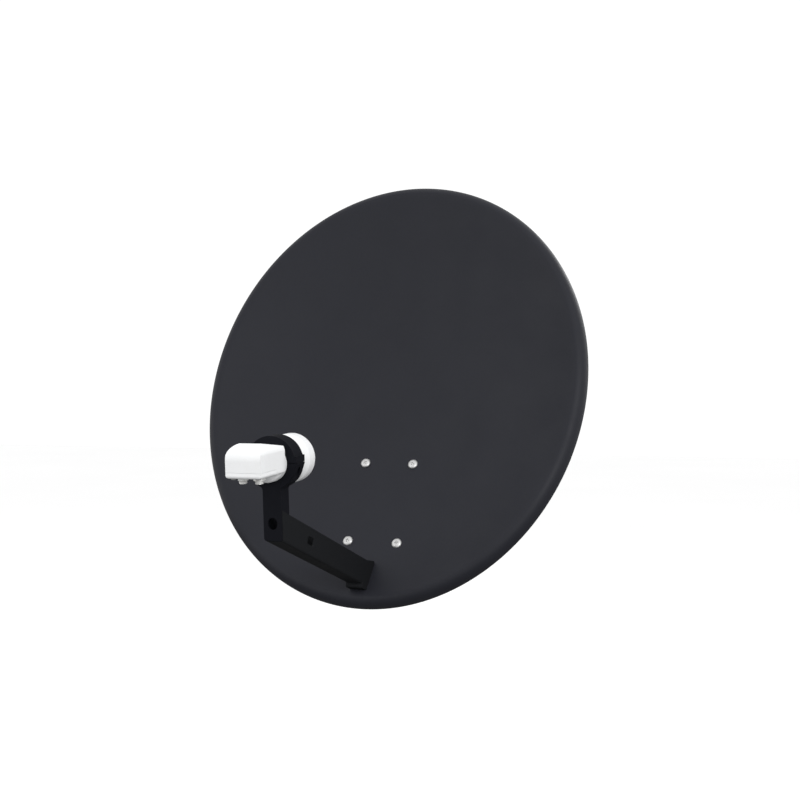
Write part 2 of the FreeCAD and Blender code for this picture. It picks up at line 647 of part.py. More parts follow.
def make_clamp_cap():
    """Upper half of the neck clamp with a screw lug on each side."""
    body = new_body("clamp_cap")
    pad(body, "XZ", "ring_front", "ring_back", circle("0", "0", "ring_radius"))
    for near, far in (("22", "lug_reach"), ("-lug_reach", "-22")):
        pad(body, "XZ", "ring_front", "ring_back", rectangle(near, far, "0", "lug_top"))
    pocket(body, "XZ", "ring_front - 1", "ring_back + 1", circle("0", "0", "ring_bore"))
    pocket(body, "XZ", "ring_front - 1", "ring_back + 1",
           rectangle("-40", "40", "-40", "split_gap"))
    for side in ("-", ""):
        pocket(body, "XY", "-1", "insert_top + 0.1", circle(side + "lug_screw_x", "1",
                                                            "insert_radius + 0.05"))
    return finished(body, "clamp_cap", FEED_FRAME)


def make_clamp_fixings():
    """Screws from below, through the holder's lugs into inserts in the cap's lugs."""
    screw = new_body("clamp_screw")
    pad(screw, "YZ", "0", "2.8", circle("0", "0", "m4_head / 2"))
    pad(screw, "YZ", "lug_seat - 5.6", "0", circle("0", "0", "m4_shank / 2"))
    for half_wide, half_tall in (("2", "0.5"), ("0.5", "2")):
        pocket(screw, "YZ", "1.4", "4", rectangle("-" + half_wide, half_wide,
                                                  "-" + half_tall, half_tall))
    lug_x = size("lug_screw_x")
    mirrored_group("clamp_screws", screw, FEED_FRAME,
                   [moved(side * lug_x, 1, size("lug_seat"), DOWNWARDS) for side in (-1, 1)])
    insert = washer("clamp_insert", "insert_radius", "m4_shank / 2 + 0.06",
                    "insert_top - insert_foot")
    mirrored_group("clamp_inserts", insert, FEED_FRAME,
                   [moved(side * lug_x, 1, size("insert_foot"), UPWARDS) for side in (-1, 1)])


def make_clamp_liner():
    """Split sleeve between the clamp and the neck; it travels with the neck."""
    body = new_body("clamp_liner")
    pad(body, "XZ", "ring_front", "ring_back", circle("0", "0", "liner_outer"))
    pocket(body, "XZ", "ring_front - 1", "ring_back + 1", circle("0", "0", "liner_inner"))
    pocket(body, "XZ", "ring_front - 1", "ring_back + 1", rectangle("-1", "1", "0", "30"))
    return finished(body, "clamp_liner", FEED_FRAME)


# ---------------------------------------------------------------- low-noise block

def make_lnb_horn():
    """Cast neck and flared horn around the round waveguide."""
    body = new_body("lnb_horn")
    revolve(body, "Revolution", "Y", polygon(
        ("-16", "9"), ("15", "9"), ("38", "23.5"), ("41", "23.5"), ("41", "26.6"),
        ("38", "26.6"), ("38", "25.2"), ("36", "25.2"), ("36", "26.6"), ("31.5", "26.6"),
        ("20.5", "neck_radius"), ("-16", "neck_radius")))
    return finished(body, "lnb_horn", FEED_FRAME)


def make_lnb_cap():
    """Moulded weather cap over the horn's mouth, with a conical skirt."""
    body = new_body("lnb_cap")
    inner = "cap_radius - cap_wall"
    revolve(body, "Revolution", "Y", polygon(
        ("21.5", "21.1"), ("cap_shoulder", "cap_radius - 1.2"), ("cap_shoulder + 2", "cap_radius"),
        ("cap_face - 3", "cap_radius", ("cap_face - 0.88", "cap_radius - 0.88")),
        ("cap_face", "cap_radius - 3"), ("cap_face", "0"), ("cap_face - cap_wall", "0"),
        ("cap_face - cap_wall", inner), ("cap_shoulder + 1", inner), ("23", "22.1")))
    return finished(body, "lnb_cap", FEED_FRAME)


def make_cap_seal():
    body = new_body("cap_seal")
    revolve(body, "Revolution", "Y", polygon(
        ("36.1", "25.3"), ("37.9", "25.3"), ("37.9", "27.3"), ("36.1", "27.3")))
    return finished(body, "cap_seal", FEED_FRAME)


def make_lnb_housing():
    """Moulded hood over the circuit: crowned top, round collar in front, open below."""
    body = new_body("lnb_housing")
    bend, turn = "housing_bend", "housing_bend * 0.7071"
    centre_y, centre_z = "(housing_rear + housing_bend)", "(housing_top - housing_bend)"
    pad(body, "YZ", "-housing_half", "housing_half", polygon(
        ("housing_rear", "seam_height"), ("skirt_rear", "seam_height"),
        ("skirt_rear", "housing_foot"), ("-16", "housing_foot"), ("-16", "housing_top_front"),
        (centre_y, "housing_top", ("%s - %s" % (centre_y, turn), "%s + %s" % (centre_z, turn))),
        ("housing_rear", "%s" % centre_z)))
    # Keep only what lies inside the rounded rear outline.
    shoulder_x, shoulder_z = "housing_half - shoulder_width", "housing_top - shoulder_height"
    round_x = "shoulder_width * 0.7071"
    round_z = "shoulder_height * 0.7071"
    foot = "housing_foot - 0.2"
    outline = []
    for side in (1, -1):
        sign = "-" if side < 0 else ""
        corner = [
            ("%s(housing_half - 3.5)" % sign, foot),
            ("%shousing_half" % sign, "housing_foot + 3.3"),
            ("%shousing_half" % sign, shoulder_z),
            ("%s(%s)" % (sign, shoulder_x), "housing_top + 0.1")]
        foot_mid = ("%s(housing_half - 1.03)" % sign, "housing_foot + 0.83")
        top_mid = ("%s(%s + %s)" % (sign, shoulder_x, round_x),
                   "%s + %s" % (shoulder_z, round_z))
        if side > 0:
            outline += [corner[0] + (foot_mid,), corner[1], corner[2] + (top_mid,), corner[3]]
        else:
            outline += [corner[3] + (top_mid,), corner[2], corner[1] + (foot_mid,), corner[0]]
    pocket(body, "XZ", "housing_rear - 1", "-15",
           rectangle("-40", "40", "-30", "50"), polygon(*outline))
    revolve(body, "Revolution", "Y", polygon(
        ("-36", "0"), ("-36", "10"), ("-24", "collar_radius - 1"), ("-21", "collar_radius"),
        ("collar_front - 0.8", "collar_radius"), ("collar_front", "collar_radius - 0.8"),
        ("collar_front", "0")))
    inner = "housing_half - 2.2"
    pocket(body, "XY", "-25", "11", rectangle("-(%s)" % inner, inner, "housing_rear + 5",
                                              "skirt_rear - 1"))
    pocket(body, "XY", "-1.5", "11", rectangle("-18.5", "18.5", "skirt_rear - 2", "-22"))
    revolve(body, "Groove", "Y", polygon(
        ("-30", "0"), ("-30", "8"), ("-16.1", "8"), ("-16.1", "neck_radius + 0.05"),
        ("-9", "neck_radius + 0.05"), ("-9", "0")))
    return finished(body, "lnb_housing", FEED_FRAME)


def make_lnb_base():
    """Tray that closes the cover from below and carries the sockets."""
    body = new_body("lnb_base")
    pad(body, "XY", "housing_foot", "seam_height - 0.05",
        rectangle("-housing_half", "housing_half", "housing_rear", "skirt_rear - 0.1"))
    dress(body, "Fillet", "3.5", lambda edge: abs(middle_of(edge).z - size("housing_foot")) < 0.01
          and middle_of(edge).y < -38)
    pocket(body, "XY", "housing_foot + 2.4", "1",
           rectangle("-housing_half + 2.2", "housing_half - 2.2", "housing_rear + 3", "-39"))
    for side in ("-", ""):
        pocket(body, "XY", "-20", "1", circle(side + "connector_x", "connector_y", "5.6"))
        pocket(body, "XY", "-20", "1", circle(side + "15", "-68", "1.6"))
    return finished(body, "lnb_base", FEED_FRAME)


def make_lnb_insides():
    gasket = new_body("housing_gasket")
    outer = rectangle("-19.3", "19.3", "-68.8", "-39.2")
    pad(gasket, "XY", "-3.4", "-2.2", outer)
    pocket(gasket, "XY", "-4", "-1", rectangle("-17.5", "17.5", "-66.8", "-41.2"))
    finished(gasket, "housing_gasket", FEED_FRAME)

    board = new_body("circuit_board")
    pad(board, "XY", "1", "2.6", rectangle("-18", "18", "-68", "-24"))
    for side in ("-", ""):
        pocket(board, "XY", "0", "4", circle(side + "connector_x", "connector_y", "1.4"))
    finished(board, "circuit_board", FEED_FRAME)

    shield = new_body("board_shield")
    pad(shield, "XY", "2.7", "9.5", rectangle("-16", "16", "-66", "-26"))
    pocket(shield, "XY", "2", "8.7", rectangle("-15.2", "15.2", "-65.2", "-26.8"))
    pocket(shield, "XY", "2", "5.6", rectangle("-1.8", "1.8", "-27.5", "-25"))
    finished(shield, "board_shield", FEED_FRAME)

    probe = doc.addObject("Part::Cylinder", "waveguide_probe")
    probe.setExpression("Radius", formula("0.8"))
    probe.setExpression("Height", formula("22"))
    probe_place = FreeCAD.Placement(Vector(0, -28, 4), FreeCAD.Rotation(X_AXIS, -90))
    finished(probe, "waveguide_probe", FEED_FRAME.multiply(probe_place))


def make_connectors():
    """Two threaded coaxial sockets that point down out of the base."""
    socket = new_body("coaxial_socket")
    pad(socket, "YZ", "0", "socket_hex", hex_outline("connector_flats"))
    pad(socket, "YZ", "socket_hex", "socket_end", circle("0", "0", "4.75"))
    pad(socket, "YZ", "-9.5", "0", circle("0", "0", "5.5"))
    pocket(socket, "YZ", "-9.5", "socket_end", circle("0", "0", "3.4"))
    turns = (FreeCAD.Rotation(), FreeCAD.Rotation(X_AXIS, 30))
    places = [moved(side * size("connector_x"), size("connector_y"),
                    size("housing_foot") - 0.1, DOWNWARDS.multiply(turn))
              for side, turn in zip((-1, 1), turns)]
    mirrored_group("coaxial_sockets", socket, FEED_FRAME, places)

    insulator = washer("socket_insulator", "3.35", "0.6", "socket_end - 1.2")
    mirrored_group("socket_insulators", insulator, FEED_FRAME, places)
    contact = new_body("socket_contact")
    pad(contact, "YZ", "-12", "socket_end - 0.8", circle("0", "0", "0.55"))
    mirrored_group("socket_contacts", contact, FEED_FRAME, places)

    screw = new_body("base_screw")
    pad(screw, "YZ", "0", "1.6", circle("0", "0", "2.8"))
    pad(screw, "YZ", "-5", "0", circle("0", "0", "1.5"))
    pocket(screw, "YZ", "0.8", "3", rectangle("-2", "2", "-0.35", "0.35"))
    mirrored_group("base_screws", screw, FEED_FRAME,
                   [moved(side * 15, -68, size("housing_foot") - 0.05, DOWNWARDS)
                    for side in (-1, 1)])


# ---------------------------------------------------------------- mast mount

def make_mast_bracket():
    """Pressed U inside the dish bracket's ears: a web at the mast and two pivot ears."""
    body = new_body("mast_bracket")
    pad(body, "XZ", "web_front", "web_front + mast_gauge",
        rectangle("-mast_ear_outside", "mast_ear_outside", "web_foot", "web_top"))
    ear = polygon(("web_front", "web_top"), ("-60", "web_top"), ("-69", "36"), ("-69", "12"),
                  ("-58", "-46"), ("-52", "web_foot"), ("web_front", "web_foot"))
    for start, end in (("mast_ear_outside - mast_gauge", "mast_ear_outside"),
                       ("-mast_ear_outside", "-mast_ear_outside + mast_gauge")):
        pad(body, "YZ", start, end, ear)
    pocket(body, "XZ", "web_front - 1", "web_front + mast_gauge + 1",
           *[circle(side + "clamp_bolt_x", "0", "m8_hole / 2") for side in ("-", "")])
    everything = ("-mast_ear_outside - 1", "mast_ear_outside + 1")
    for place in (PIVOT, lock_place()):
        pocket(body, "YZ", *everything, circle("%s" % place.y, "%s" % place.z, "m8_hole / 2"))
    return finished(body, "mast_bracket", MAST_FRAME)


def lock_place():
    """Axis of the tilt lock bolts: below the pivot, a little towards the mast."""
    arm = size("slot_arm")
    towards_mast = 7
    return PIVOT + Vector(0, towards_mast, -math.sqrt(arm ** 2 - towards_mast ** 2))


def make_mast_saddle():
    """Backing plate of the fixed jaw, welded to the bracket's web."""
    body = new_body("mast_saddle")
    pad(body, "XZ", "web_front + mast_gauge", "web_front + 2 * mast_gauge",
        rectangle("-saddle_half", "saddle_half", "-saddle_height", "saddle_height"))
    return finished(body, "mast_saddle", MAST_FRAME)


def make_saddle_cheeks():
    """Two level plates, cut to the mast and welded to the backing plate."""
    cheek = new_body("saddle_cheek")
    pad(cheek, "XY", "saddle_height - mast_gauge", "saddle_height",
        rectangle("-saddle_half", "saddle_half", "web_front + 2 * mast_gauge", "-jaw_lip"))
    pocket(cheek, "XY", "-saddle_height - 1", "saddle_height + 1",
           circle("0", "0", "mast_radius"))
    drop = size("mast_gauge - 2 * saddle_height")
    mirrored_group("saddle_cheeks", cheek, MAST_FRAME, [moved(0, 0, 0), moved(0, 0, drop)])


def make_mast_jaw():
    """Moving jaw behind the mast, drawn in by two long bolts."""
    body = new_body("mast_jaw")
    pad(body, "XZ", "jaw_back - mast_gauge", "jaw_back",
        rectangle("-jaw_half", "jaw_half", "-saddle_height", "saddle_height"))
    for start, end in (("saddle_height - mast_gauge", "saddle_height"),
                       ("-saddle_height", "-saddle_height + mast_gauge")):
        pad(body, "XY", start, end, polygon(
            ("-jaw_half", "jaw_back"), ("-jaw_half", "jaw_back - 9"),
            ("-saddle_half", "jaw_lip"), ("saddle_half", "jaw_lip"),
            ("jaw_half", "jaw_back - 9"), ("jaw_half", "jaw_back")))
    pocket(body, "XY", "-saddle_height - 1", "saddle_height + 1",
           circle("0", "0", "mast_radius"))
    pocket(body, "XZ", "jaw_back - mast_gauge - 1", "jaw_back + 1",
           *[circle(side + "clamp_bolt_x", "0", "m8_hole / 2") for side in ("-", "")])
    return finished(body, "mast_jaw", MAST_FRAME)


def make_mast_fixings():
    bolt = new_body("mast_clamp_bolt")
    shank = "clamp_bolt_end - web_front"
    revolve(bolt, "Revolution", "Y", polygon(
        ("0", "0"), (shank, "0"), (shank, "m8_shank / 2 - 0.8"),
        ("(%s) - 0.8" % shank, "m8_shank / 2"), ("0", "m8_shank / 2"), ("0", "9"),
        ("-1", "9", ("-3", "5.6")), ("-4.4", "2"), ("-4.4", "0")))
    bolt_x = size("clamp_bolt_x")
    sides = (-bolt_x, bolt_x)
    mirrored_group("mast_clamp_bolts", bolt, MAST_FRAME,
                   [moved(across, size("web_front"), 0) for across in sides])
    ring = washer("mast_clamp_washer", "m8_washer / 2", "m8_hole / 2", "washer_gauge")
    mirrored_group("mast_clamp_washers", ring, MAST_FRAME,
                   [moved(across, size("jaw_back"), 0, TOWARDS_BACK) for across in sides])
    nut = hex_nut("mast_clamp_nut", "m8_flats", "m8_hole / 2", "m8_nut")
    mirrored_group("mast_clamp_nuts", nut, MAST_FRAME,
                   [moved(across, size("jaw_back + washer_gauge"), 0, TOWARDS_BACK)
                    for across in sides])


def both_sides(place, distance, left_turn, right_turn):
    """Placements at the same place on the left and right of the mast."""
    return [moved(-distance, place.y, place.z, left_turn),
            moved(distance, place.y, place.z, right_turn)]


def make_tilt_fixings():
    """Pivot and lock bolts through each pair of ears, heads outside, nuts inside."""
    head_seat = size("ear_outside + play + washer_gauge")
    nut_seat = size("mast_ear_outside - mast_gauge")
    shank = "%s" % (head_seat - nut_seat + size("m8_nut") + 2)
    bolt = hex_bolt("tilt_bolt", "m8_flats", "5.3", "m8_shank / 2", shank)
    ring = washer("tilt_washer", "m8_washer / 2", "m8_hole / 2", "washer_gauge")
    nut = hex_nut("tilt_nut", "m8_flats", "m8_shank / 2 + 0.05", "m8_nut")
    for name, place in (("pivot", PIVOT), ("lock", lock_place())):
        heads = both_sides(place, head_seat, FLIPPED, None)
        rings = both_sides(place, size("ear_outside + play"), FLIPPED, None)
        inner_nuts = both_sides(place, nut_seat, None, FLIPPED)
        mirrored_group(name + "_bolts", bolt, MAST_FRAME, heads)
        mirrored_group(name + "_washers", ring, MAST_FRAME, rings)
        mirrored_group(name + "_nuts", nut, MAST_FRAME, inner_nuts)


# ---------------------------------------------------------------- build, check and export

make_reflector()
make_reflector_fixings()
make_dish_bracket()
make_elevation_scale()
make_feed_arm()
make_arm_bolt()
make_lnb_holder()
make_clamp_cap()
make_clamp_fixings()
make_clamp_liner()
make_lnb_horn()
make_lnb_cap()
make_cap_seal()
make_lnb_housing()
make_lnb_base()
make_lnb_insides()
make_connectors()
make_mast_bracket()
make_mast_saddle()
make_saddle_cheeks()
make_mast_jaw()
make_mast_fixings()
make_tilt_fixings()
doc.recompute()

for item in doc.Objects:
    if "Invalid" in item.State or "Error" in item.State:
        raise ValueError("%s (%s) failed: %s" % (item.Name, item.Label, item.State))

os.makedirs("parts", exist_ok=True)
for node in nodes:
    if node.Shape.isNull() or not node.Shape.isValid():
        raise ValueError("%s has no valid shape" % node.Label)
    node.Shape.exportStep("parts/%s.step" % node.Label)
    print("%-20s solids %d volume %.0f" % (node.Label, len(node.Shape.Solids),
                                           node.Shape.Volume))
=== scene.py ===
import math

import bpy
from mathutils import Matrix, Vector


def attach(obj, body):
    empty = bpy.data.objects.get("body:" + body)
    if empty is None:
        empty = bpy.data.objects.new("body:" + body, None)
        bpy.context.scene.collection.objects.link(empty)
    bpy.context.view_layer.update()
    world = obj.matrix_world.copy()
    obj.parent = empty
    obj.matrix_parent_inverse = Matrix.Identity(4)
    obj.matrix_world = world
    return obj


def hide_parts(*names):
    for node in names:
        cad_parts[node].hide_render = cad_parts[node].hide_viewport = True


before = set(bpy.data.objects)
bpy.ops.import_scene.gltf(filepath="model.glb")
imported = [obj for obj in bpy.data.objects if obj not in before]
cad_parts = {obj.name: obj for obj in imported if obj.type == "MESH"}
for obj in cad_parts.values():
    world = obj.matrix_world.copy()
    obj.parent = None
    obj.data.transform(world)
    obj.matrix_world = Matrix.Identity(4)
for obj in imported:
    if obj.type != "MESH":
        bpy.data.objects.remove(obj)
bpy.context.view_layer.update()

MM = 0.001

# ---------------------------------------------------------------- frames of the sub-assemblies


def frame_at(across, back, up, degrees=0.0):
    """Frame in millimetres, turned about the X axis."""
    return Matrix.Translation((across, back, up)) @ Matrix.Rotation(math.radians(degrees), 4, "X")


DISH = frame_at(0, -86.8202, 193.7360, -20)
BRACKET = frame_at(0, -95.8007, 17.6035, -31.4218)
FEED = DISH @ frame_at(0, -286.3, -207.4, 24)
MAST = Matrix.Identity(4)

SCREW_X, SCREW_Z = 36.85, 62.0284
SEAT_FRONT = -9.0
WEB_GAUGE = 2.5

# ---------------------------------------------------------------- meshes


def make_piece(name, verts, faces, place, material, body, slot, nodes=(), smooth=True):
    """Mesh object from millimetre points in a sub-assembly's frame, riding on a body."""
    mesh = bpy.data.meshes.new(name)
    mesh.from_pydata([(place @ Vector(v)) * MM for v in verts], [], faces)
    mesh.validate()
    mesh.update()
    piece = bpy.data.objects.new(name, mesh)
    bpy.context.scene.collection.objects.link(piece)
    for polygon in mesh.polygons:
        polygon.use_smooth = smooth
    mesh.materials.append(material)
    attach(piece, body)
    if nodes:
        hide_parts(*nodes)
    return piece


def sharpen(piece, degrees=32):
    """Split the shading along edges sharper than an angle."""
    limit = math.radians(degrees)
    mesh = piece.data
    mesh.update()
    sides = {}
    for polygon in mesh.polygons:
        for key in polygon.edge_keys:
            sides.setdefault(key, []).append(polygon.normal.copy())
    for edge in mesh.edges:
        normals = sides.get(tuple(sorted(edge.vertices)), ())
        if len(normals) == 2 and normals[0].angle(normals[1], 0.0) > limit:
            edge.use_edge_sharp = True
    return piece


def ring_faces(count, first, second):
    """Quads between two rings of the same number of points."""
    return [(first + i, first + (i + 1) % count, second + (i + 1) % count, second + i)
            for i in range(count)]


def stack_rings(rings, close_ends=True, wrap=False):
    """Points and faces of rings stacked into a closed skin."""
    count = len(rings[0])
    verts = [point for ring in rings for point in ring]
    faces = []
    for i in range(len(rings) - 1):
        faces += ring_faces(count, i * count, (i + 1) * count)
    if wrap:
        faces += ring_faces(count, (len(rings) - 1) * count, 0)
    elif close_ends:
        faces.append(tuple(reversed(range(count))))
        last = (len(rings) - 1) * count
        faces.append(tuple(range(last, last + count)))
    return verts, faces


def lathe_rings(profile, segments):
    """Rings about the Y axis through (along, radius) pairs."""
    return [[(radius * math.cos(2 * math.pi * i / segments), along,
              radius * math.sin(2 * math.pi * i / segments)) for i in range(segments)]
            for along, radius in profile]


def rounded(profile, radius, steps=5, closed=True):
    """Round the corners of an (a, b) outline with small arcs."""
    result = []
    count = len(profile)
    for i, corner in enumerate(profile):
        if not closed and i in (0, count - 1):
            result.append(corner)
            continue
        before, after = Vector(profile[i - 1]), Vector(profile[(i + 1) % count])
        middle = Vector(corner)
        reach = min(radius, (before - middle).length * 0.45, (after - middle).length * 0.45)
        start = middle + (before - middle).normalized() * reach
        end = middle + (after - middle).normalized() * reach
        for step in range(steps + 1):
            t = step / steps
            result.append(tuple((1 - t) ** 2 * start + 2 * t * (1 - t) * middle + t * t * end))
    return result


def merge(parts):
    """Join (points, faces) pairs into one."""
    verts, faces = [], []
    for more_verts, more_faces in parts:
        base = len(verts)
        verts += [tuple(v) for v in more_verts]
        faces += [tuple(index + base for index in face) for face in more_faces]
    return verts, faces


def placed(part, matrix):
    verts, faces = part
    return [tuple(matrix @ Vector(v)) for v in verts], faces


def copies(part, matrices):
    return merge([placed(part, matrix) for matrix in matrices])


def hex_ring(flats, along, limit, turn=0.0, segments=72):
    """Hexagon, or the circle of a radius limit where that is smaller, about the Y axis."""
    ring = []
    for i in range(segments):
        angle = 2 * math.pi * i / segments
        sector = (angle + turn) % (math.pi / 3) - math.pi / 6
        radius = min(flats / 2 / math.cos(sector), limit)
        ring.append((radius * math.cos(angle), along, radius * math.sin(angle)))
    return ring


def hex_blank(flats, start, end, bore=0.0):
    """Hexagonal nut or head from start to end along Y, its corners chamfered at both ends."""
    corner = flats / 2 / math.cos(math.pi / 6)
    face = flats / 2 * 0.97
    rings = []
    steps = (0.0, 0.35, 0.7, 1.0)
    for step in steps:
        limit = face + (corner - face) * step
        rings.append(hex_ring(flats, start + (limit - face) * 0.5, limit))
    for step in reversed(steps):
        limit = face + (corner - face) * step
        rings.append(hex_ring(flats, end - (limit - face) * 0.5, limit))
    if bore:
        bevel = 0.5
        inner = lathe_rings([(end, bore + bevel), (end - bevel, bore), (start + bevel, bore),
                             (start, bore + bevel)], 72)
        return stack_rings(rings + inner, wrap=True)
    return stack_rings(rings)


def threaded_rod(radius, pitch, depth, start, end, segments=28):
    """Rod along Y with a real helical thread and a chamfered tip at the end."""
    per_turn = 6
    count = max(2, int((end - start) / pitch * per_turn))
    rings = []
    for row in range(count + 1):
        along = start + (end - start) * row / count
        fade = min(1.0, (end - along) / (depth * 1.6), (along - start) / (depth * 0.8) + 0.2)
        ring = []
        for i in range(segments):
            phase = (along / pitch - i / segments) % 1.0
            height = 1 - abs(2 * phase - 1)
            shrink = depth * (1 - height) * max(0.0, min(1.0, fade * 2))
            shrink += depth * 1.1 * max(0.0, 1 - fade)
            angle = 2 * math.pi * i / segments
            ring.append(((radius - shrink) * math.cos(angle), along,
                         (radius - shrink) * math.sin(angle)))
        rings.append(ring)
    return stack_rings(rings)


def washer_ring(outside, bore, start, end):
    outline = rounded([(start, bore), (start, outside), (end, outside), (end, bore)], 0.3, 3)
    return stack_rings(lathe_rings(outline, 64), wrap=True)


def plain_rod(profile, segments=48):
    return stack_rings(lathe_rings(profile, segments))


def smooth_step(value, low, high):
    share = max(0.0, min(1.0, (value - low) / (high - low)))
    return share * share * (3 - 2 * share)


def recessed_dome(radius, rise, arm, half_width, depth, flat=2.4, segments=96, rows=30):
    """Domed head above Y = 0, towards -Y, with a cross recess."""
    rings = []
    for row in range(rows, 0, -1):
        reach = radius * row / rows
        ring = []
        for i in range(segments):
            angle = 2 * math.pi * i / segments
            x, z = reach * math.cos(angle), reach * math.sin(angle)
            share = max(0.0, (reach - flat) / (radius - flat))
            dome = rise * math.sqrt(max(0.0, 1 - share ** 2.3 * 0.97))
            edge = 0.14
            wide = min(abs(x), abs(z))
            far = max(abs(x), abs(z))
            inside = (1 - smooth_step(wide, half_width - edge, half_width + edge))
            inside *= 1 - smooth_step(far, arm - 0.5, arm + edge)
            ring.append((x, -(dome - depth * inside * (1 - 0.3 * far / arm)), z))
        rings.append(ring)
    base = [(radius * math.cos(2 * math.pi * i / segments), 0.0,
             radius * math.sin(2 * math.pi * i / segments)) for i in range(segments)]
    return stack_rings([base] + rings)


# ---------------------------------------------------------------- materials


def linear(red, green, blue):
    """Linear colour from 0-255 display values."""
    def convert(value):
        value /= 255
        return value / 12.92 if value <= 0.04045 else ((value + 0.055) / 1.055) ** 2.4
    return (convert(red), convert(green), convert(blue), 1.0)


def scaled(colour, factor):
    return tuple(min(1.0, c * factor) for c in colour[:3]) + (1.0,)


class Surface:
    """Node material: colour variation, fine relief, uneven gloss and worn edges."""

    def __init__(self, name, colour, roughness, metallic=0.0, specular=0.5):
        self.material = bpy.data.materials.new(name)
        self.material.use_nodes = True
        self.tree = self.material.node_tree
        self.shader = self.tree.nodes["Principled BSDF"]
        self.shader.inputs["Metallic"].default_value = metallic
        self.shader.inputs["Specular IOR Level"].default_value = specular
        self.place = self.node("ShaderNodeTexCoord").outputs["Object"]
        self.colour = None
        self.base = colour
        self.roughness = roughness
        self.normal = None

    def node(self, kind, **values):
        made = self.tree.nodes.new(kind)
        for key, value in values.items():
            setattr(made, key, value)
        return made

    def link(self, source, target):
        self.tree.links.new(source, target)

    def noise(self, scale, detail=3.0, rough=0.55, stretch=None):
        """Noise value; scale counts features per metre."""
        made = self.node("ShaderNodeTexNoise")
        made.inputs["Scale"].default_value = scale
        made.inputs["Detail"].default_value = detail
        made.inputs["Roughness"].default_value = rough
        place = self.place
        if stretch:
            mapping = self.node("ShaderNodeMapping")
            mapping.inputs["Scale"].default_value = stretch
            self.link(place, mapping.inputs["Vector"])
            place = mapping.outputs["Vector"]
        self.link(place, made.inputs["Vector"])
        return made.outputs["Fac"]

    def cells(self, scale, feature="F1"):
        made = self.node("ShaderNodeTexVoronoi", feature=feature)
        made.inputs["Scale"].default_value = scale
        self.link(self.place, made.inputs["Vector"])
        return made

    def spread(self, value, low, high, start=0.3, end=0.7):
        """Map a 0-1 value onto a range."""
        made = self.node("ShaderNodeMapRange")
        made.inputs["From Min"].default_value = start
        made.inputs["From Max"].default_value = end
        made.inputs["To Min"].default_value = low
        made.inputs["To Max"].default_value = high
        self.link(value, made.inputs["Value"])
        return made.outputs["Result"]

    def tint(self, mask, colour):
        """Lay a colour over the present one where a mask is 1."""
        mix = self.node("ShaderNodeMix", data_type="RGBA")
        self.link(mask, mix.inputs["Factor"])
        first, second = [s for s in mix.inputs if s.type == "RGBA"]
        if self.colour is None:
            first.default_value = self.base
        else:
            self.link(self.colour, first)
        second.default_value = colour
        self.colour = next(s for s in mix.outputs if s.type == "RGBA")

    def gloss(self, value, low, high, start=0.3, end=0.7):
        self.link(self.spread(value, low, high, start, end), self.shader.inputs["Roughness"])

    def relief(self, value, height, strength=1.0):
        """Bump of a height in millimetres."""
        made = self.node("ShaderNodeBump")
        made.inputs["Strength"].default_value = strength
        made.inputs["Distance"].default_value = height * MM
        self.link(value, made.inputs["Height"])
        if self.normal is not None:
            self.link(self.normal, made.inputs["Normal"])
        self.normal = made.outputs["Normal"]

    def soft_edges(self, radius):
        """Shade edges as if rounded by a radius in millimetres."""
        made = self.node("ShaderNodeBevel", samples=4)
        made.inputs["Radius"].default_value = radius * MM
        self.normal = made.outputs["Normal"]

    def edge_mask(self, radius, low=0.02, high=0.16):
        """1 along edges, broken up by noise."""
        bevel = self.node("ShaderNodeBevel", samples=4)
        bevel.inputs["Radius"].default_value = radius * MM
        true = self.node("ShaderNodeNewGeometry").outputs["Normal"]
        dot = self.node("ShaderNodeVectorMath", operation="DOT_PRODUCT")
        self.link(bevel.outputs["Normal"], dot.inputs[0])
        self.link(true, dot.inputs[1])
        edge = self.spread(dot.outputs["Value"], 1.0, 0.0, 1 - high, 1 - low)
        broken = self.spread(self.noise(420, 2), 0.0, 1.0, 0.42, 0.62)
        both = self.node("ShaderNodeMath", operation="MULTIPLY")
        self.link(edge, both.inputs[0])
        self.link(broken, both.inputs[1])
        return both.outputs["Value"]

    def done(self):
        if self.colour is not None:
            self.link(self.colour, self.shader.inputs["Base Color"])
        else:
            self.shader.inputs["Base Color"].default_value = self.base
        if not self.shader.inputs["Roughness"].is_linked:
            self.shader.inputs["Roughness"].default_value = self.roughness
        if self.normal is not None:
            self.link(self.normal, self.shader.inputs["Normal"])
        return self.material


def powder_coat(name, colour, roughness, specular, edges=0.5):
    """Satin powder coat: faint orange peel, dust and a little wear on sharp edges."""
    surface = Surface(name, colour, roughness, specular=specular)
    if edges:
        surface.soft_edges(edges)
    surface.tint(surface.spread(surface.noise(5, 4), 0.0, 0.35), scaled(colour, 1.25))
    surface.tint(surface.spread(surface.noise(900, 1), 0.0, 0.30, 0.45, 0.75),
                 scaled(colour, 0.62))
    surface.tint(surface.spread(surface.noise(2600, 0), 0.0, 0.35, 0.66, 0.8),
                 scaled(colour, 2.2))
    surface.gloss(surface.noise(14, 4), roughness - 0.06, roughness + 0.09)
    surface.relief(surface.noise(1500, 2), 0.035, 0.6)
    surface.relief(surface.noise(380, 1), 0.05, 0.5)
    if edges:
        surface.tint(surface.edge_mask(edges), scaled(colour, 2.4))
    return surface.done()


